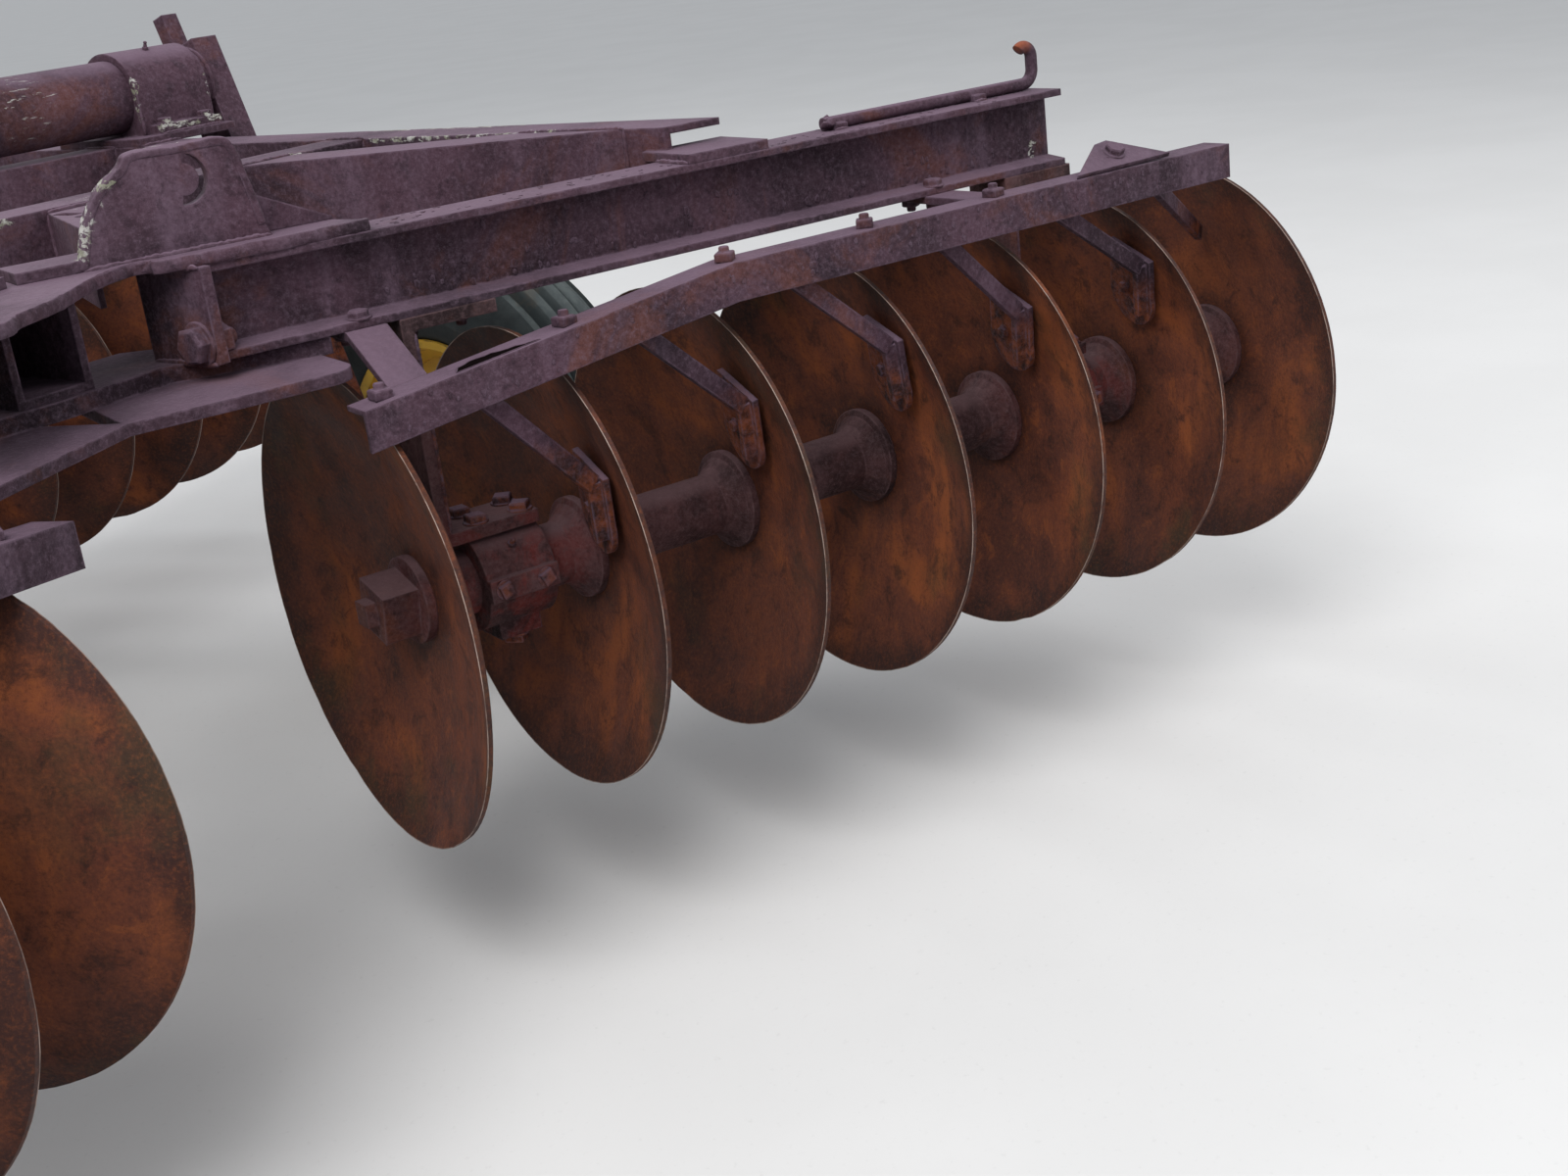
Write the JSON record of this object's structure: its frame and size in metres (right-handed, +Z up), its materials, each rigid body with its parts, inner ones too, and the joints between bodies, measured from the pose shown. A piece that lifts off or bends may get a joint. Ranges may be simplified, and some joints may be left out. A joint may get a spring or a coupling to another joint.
{
  "type": "trailed tandem disc harrow",
  "caption": "Rusted trailed tandem disc harrow with four gangs of dished blades under I-beams, a wheel lift rockshaft, and a drawbar with clevis and jack.",
  "frame": {"origin": "on the ground, on the centre plane, midway between the rearmost blade and the front of the clevis", "axes": "+Y forwards to the hitch, +X to the machine's right, +Z up"},
  "size_m": [3.457, 4.2116, 1.3117],
  "materials": {
    "frame_steel": "dull purple brown rust, scuffed to bare metal at edges",
    "cast_parts": "rusted casting with traces of red paint",
    "disc_steel": "orange brown rust with dark patches and a thin worn edge",
    "bare_steel": "dull worn steel with light rust",
    "yellow_paint": "worn yellow paint",
    "tyre_rubber": "weathered ribbed rubber"
  },
  "bodies": {
    "frame": {"beam_rear_left": "frame_steel", "beam_rear_right": "frame_steel", "beam_front_left": "frame_steel", "beam_front_right": "frame_steel", "rail_left": "frame_steel", "rail_right": "frame_steel", "centre_rail": "frame_steel", "cross_members": "frame_steel", "braces": "frame_steel", "splice_rear": "frame_steel", "splice_front": "frame_steel", "slot_brackets": "frame_steel", "adjust_bars": "frame_steel", "shaft_bearings": "frame_steel", "hangers": "cast_parts", "scraper_bars": "frame_steel", "scrapers": "frame_steel", "hook_rod": "frame_steel", "drawbar_left": "frame_steel", "drawbar_right": "frame_steel", "drawbar_ties": "frame_steel", "hitch": "frame_steel", "level_link": "frame_steel", "jack_tube": "frame_steel"},
    "gang_rear_left": {"discs_rear_left": "disc_steel", "spools_rear_left": "cast_parts", "axle_rear_left": "cast_parts"},
    "gang_rear_right": {"discs_rear_right": "disc_steel", "spools_rear_right": "cast_parts", "axle_rear_right": "cast_parts"},
    "gang_front_left": {"discs_front_left": "disc_steel", "spools_front_left": "cast_parts", "axle_front_left": "cast_parts"},
    "gang_front_right": {"discs_front_right": "disc_steel", "spools_front_right": "cast_parts", "axle_front_right": "cast_parts"},
    "lift": {"rockshaft": "frame_steel", "wheel_arms": "frame_steel"},
    "wheel_left": {"tyre_left": "tyre_rubber", "rim_left": "yellow_paint"},
    "wheel_right": {"tyre_right": "tyre_rubber", "rim_right": "yellow_paint"},
    "cylinder": {"cylinder_barrel": "frame_steel"},
    "rod": {"cylinder_rod": "bare_steel"},
    "jack": {"jack_leg": "bare_steel"}
  },
  "joints": [
    {"name": "gang_rear_left_spin", "type": "hinge", "parent": "frame", "child": "gang_rear_left", "pos_m": [-0.288, -1.38, 0.47], "axis": [-0.9455, -0.3256, 0], "continuous": true},
    {"name": "gang_rear_right_spin", "type": "hinge", "parent": "frame", "child": "gang_rear_right", "pos_m": [0.288, -1.38, 0.47], "axis": [0.9455, -0.3256, 0], "continuous": true},
    {"name": "gang_front_left_spin", "type": "hinge", "parent": "frame", "child": "gang_front_left", "pos_m": [-0.2, 0, 0.47], "axis": [-0.9455, 0.3256, 0], "continuous": true},
    {"name": "gang_front_right_spin", "type": "hinge", "parent": "frame", "child": "gang_front_right", "pos_m": [0.2, 0, 0.47], "axis": [0.9455, 0.3256, 0], "continuous": true},
    {"name": "lift_turn", "type": "hinge", "parent": "frame", "child": "lift", "pos_m": [0, -0.36, 1.023], "axis": [-1, 0, 0], "range_deg": [0, 29]},
    {"name": "wheel_left_spin", "type": "hinge", "parent": "lift", "child": "wheel_left", "pos_m": [-1.172, -0.68, 0.37], "axis": [1, 0, 0], "continuous": true},
    {"name": "wheel_right_spin", "type": "hinge", "parent": "lift", "child": "wheel_right", "pos_m": [1.172, -0.68, 0.37], "axis": [1, 0, 0], "continuous": true},
    {"name": "cylinder_swing", "type": "hinge", "parent": "frame", "child": "cylinder", "pos_m": [0, 0.02, 0.99], "axis": [-1, 0, 0], "range_deg": [0, 10]},
    {"name": "rod_slide", "type": "slide", "parent": "cylinder", "child": "rod", "axis": [0, -0.8424, 0.5388], "range_m": [-0.105, 0]},
    {"name": "jack_slide", "type": "slide", "parent": "frame", "child": "jack", "axis": [0, 0, 1], "range_m": [0, 0.3]}
  ],
  "couplings": [
    {"joint": "cylinder_swing", "follows": "lift_turn", "ratio": 0.3283},
    {"joint": "rod_slide", "follows": "lift_turn", "m_per_rad": -0.20528}
  ]
}
